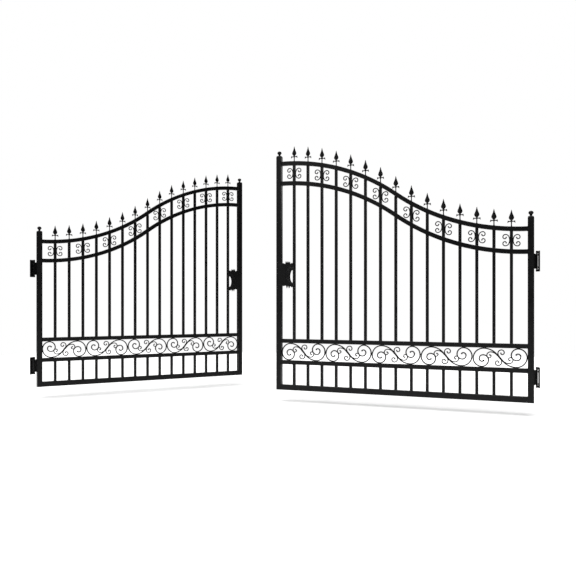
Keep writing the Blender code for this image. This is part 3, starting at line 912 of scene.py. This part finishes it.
def build_side(side):
    stiles = side.box("hinge_stile"), side.box("latch_stile")
    arch = Arch(stiles[0][1].x, stiles[1][0].x)
    places = picket_places(arch)
    lower_band, upper_band = side.box("lower_band_rail"), side.box("upper_band_rail")
    rail = lower_band[1].z - lower_band[0].z

    for part in ("hinge_stile", "latch_stile"):
        side.add(part + "_tube", tube(side, part), "frame_tube", [part])
        side.add(part + "_ball_cap", stile_cap(side, part + "_cap"), "cast_ornament", [part + "_cap"])
    for part in ("lower_band_rail", "upper_band_rail"):
        side.add(part + "_tube", tube(side, part), "frame_tube", [part])

    rail_bm = bmesh.new()
    level = BOTTOM_RAIL / 2
    rail_ends = (arch.start + GAP, level), (arch.end - GAP, level)
    add_bar(rail_bm, *rail_ends, BOTTOM_RAIL, BOTTOM_RAIL, TUBE_CORNER)
    for x, way in ((arch.start, 1), (arch.end, -1)):
        corner_x = x + way * SINK
        add_bead(rail_bm, (corner_x, -0.017, BOTTOM_RAIL), (corner_x, 0.017, BOTTOM_RAIL), WELD_LEG)
    side.add("bottom_rail_tube", rail_bm, "frame_tube", ["bottom_rail"])
    short = pickets(places, BOTTOM_RAIL, lambda x: lower_band[0].z)
    side.add("short_pickets", short, "picket_bar")

    side.add("upper_arched_rail", arched_rail(arch, rail, 0.0), "frame_tube")
    side.add("lower_arched_rail", arched_rail(arch, rail, ARCH_DROP), "frame_tube")

    def under_arch(x):
        return arch.face(x, rail, 0.0, -1)

    tall = pickets(places, upper_band[1].z, under_arch)
    side.add("tall_pickets", tall, "picket_bar", ["picket_panel"])
    side.add("collar_scrolls", collar_scrolls(arch, rail), "scroll_bar")
    side.add("spear_heads", spear_heads(arch), "cast_ornament", ["arch_rail"])

    faces = [
        (lambda x: BOTTOM_RAIL, 1),
        (lambda x: lower_band[0].z, -1),
        (lambda x: upper_band[1].z, 1),
        (lambda x: arch.face(x, rail, ARCH_DROP, -1), -1),
        (lambda x: arch.face(x, rail, ARCH_DROP, 1), 1),
        (under_arch, -1),
    ]
    side.add("picket_welds", picket_welds(places, faces), "frame_tube")
    middles = [
        lambda x: (lower_band[0].z + lower_band[1].z) / 2,
        lambda x: (upper_band[0].z + upper_band[1].z) / 2,
        lambda x: arch.height(x) - rail / 2,
        lambda x: arch.height(x) - ARCH_DROP - rail / 2,
    ]
    side.add("rail_welds", rail_welds(arch, rail, middles), "frame_tube")

    for index in range(SCROLL_COUNT):
        node = "scroll_unit_" + str(index + 1)
        side.add("scrollwork_" + str(index + 1), scroll_unit(side, index, arch), "scroll_bar", [node])
    side.add("lock_plate_casting", lock_plate(side), "cast_ornament", ["lock_plate"])
    for level in ("lower", "upper"):
        hinge, bracket = level + "_gate_hinge", level + "_post_bracket"
        side.add(hinge + "_welded", gate_hinge(side, hinge), "hinge_steel", [hinge])
        side.add(bracket + "_bolted", post_bracket(side, bracket), "hinge_steel", [bracket], fixed=True)


# ---------------------------------------------------------------- stage

GATE_MIDDLE = Vector((2.13, 0.75, 0.75))
FLOOR_REACH = 5.5
FLOOR_BELOW = 0.10
FLOOR_TONE = (0.90, 0.90, 0.90, 1.0)
ROOM_GLOW = 0.05              # how bright the room is to everything but the eye
OVERHEAD_STRENGTH = 5.2
OVERHEAD_SPREAD_DEG = 70.0
OVERHEAD_TILT_DEG = (12.0, -10.0)
BOX_SIZE = (4.0, 3.0)
BOX_POWER = 70.0
FRONT_BOX = Vector((-4.6, -8.3, 3.5))    # from the middle of the gate
BACK_BOX = Vector((4.4, 7.7, 3.3))
EYE = (3.512, -5.367, 0.537)
EYE_YAW = 0.2383              # radians from +Y towards -X
LENS = 42.24
SENSOR = 36.0
SHIFT = (0.0291, 0.0308)


def build_floor():
    """Plain pale floor just below the leaves, as white in the light as the room round it."""
    bm = bmesh.new()
    bmesh.ops.create_grid(bm, x_segments=8, y_segments=8, size=FLOOR_REACH)
    mesh = bpy.data.meshes.new("floor")
    bm.to_mesh(mesh)
    bm.free()
    mesh.transform(Matrix.Translation((GATE_MIDDLE.x, GATE_MIDDLE.y, CAD_BOX[0][2] - FLOOR_BELOW)))
    material = bpy.data.materials.new("pale_floor")
    material.use_nodes = True
    tree = material.node_tree
    shader = tree.nodes["Principled BSDF"]
    place = add_node(tree, "ShaderNodeTexCoord").outputs["Object"]
    grain = add_node(tree, "ShaderNodeTexNoise", {"Vector": place, "Scale": 6.0, "Detail": 4.0})
    worn = add_node(tree, "ShaderNodeMapRange", {"Value": grain.outputs["Fac"], "To Min": 0.6, "To Max": 0.8})
    tree.links.new(worn.outputs["Result"], shader.inputs["Roughness"])
    shader.inputs["Base Color"].default_value = FLOOR_TONE
    mesh.materials.append(material)
    floor = bpy.data.objects.new("floor", mesh)
    bpy.context.scene.collection.objects.link(floor)


def add_light(name, place, size, power):
    lamp = bpy.data.lights.new(name, "AREA")
    lamp.shape = "RECTANGLE"
    lamp.size, lamp.size_y = size
    lamp.energy = power
    item = bpy.data.objects.new(name, lamp)
    item.location = place
    item.rotation_euler = (GATE_MIDDLE - place).to_track_quat("-Z", "Y").to_euler()
    bpy.context.scene.collection.objects.link(item)


def build_light():
    """Soft studio light: a room that is white to the eye and dim to the coating, and soft lamps."""
    world = bpy.data.worlds.new("studio")
    bpy.context.scene.world = world
    world.use_nodes = True
    tree = world.node_tree
    background = tree.nodes["Background"]
    path = add_node(tree, "ShaderNodeLightPath")
    strength = add_node(tree, "ShaderNodeMapRange", {
        "Value": path.outputs["Is Camera Ray"], "To Min": ROOM_GLOW, "To Max": 1.0})
    background.inputs["Color"].default_value = (1.0, 1.0, 1.0, 1.0)
    tree.links.new(strength.outputs["Result"], background.inputs["Strength"])

    sky = bpy.data.lights.new("overhead_lamp", "SUN")
    sky.energy = OVERHEAD_STRENGTH
    sky.angle = math.radians(OVERHEAD_SPREAD_DEG)
    overhead = bpy.data.objects.new("overhead_lamp", sky)
    overhead.rotation_euler = (*map(math.radians, OVERHEAD_TILT_DEG), 0.0)
    bpy.context.scene.collection.objects.link(overhead)
    add_light("front_box", GATE_MIDDLE + FRONT_BOX, BOX_SIZE, BOX_POWER)
    add_light("back_box", GATE_MIDDLE + BACK_BOX, BOX_SIZE, BOX_POWER)
    bpy.context.scene.view_settings.view_transform = "Standard"


def build_camera():
    """Low, level view of the gate's front from the right of its middle."""
    camera = bpy.data.cameras.new("camera")
    camera.sensor_width = SENSOR
    camera.lens = LENS
    camera.shift_x, camera.shift_y = SHIFT
    camera.clip_end = 200.0
    ahead = Vector((-math.sin(EYE_YAW), math.cos(EYE_YAW), 0.0))
    right = Vector((math.cos(EYE_YAW), math.sin(EYE_YAW), 0.0))
    axes = (right, Vector((0.0, 0.0, 1.0)), -ahead)
    item = bpy.data.objects.new("camera", camera)
    item.matrix_world = Matrix.Translation(EYE) @ Matrix(axes).transposed().to_4x4()
    bpy.context.scene.collection.objects.link(item)
    bpy.context.scene.camera = item


for side_name in ("left", "right"):
    build_side(Side(side_name))
build_floor()
build_light()
build_camera()
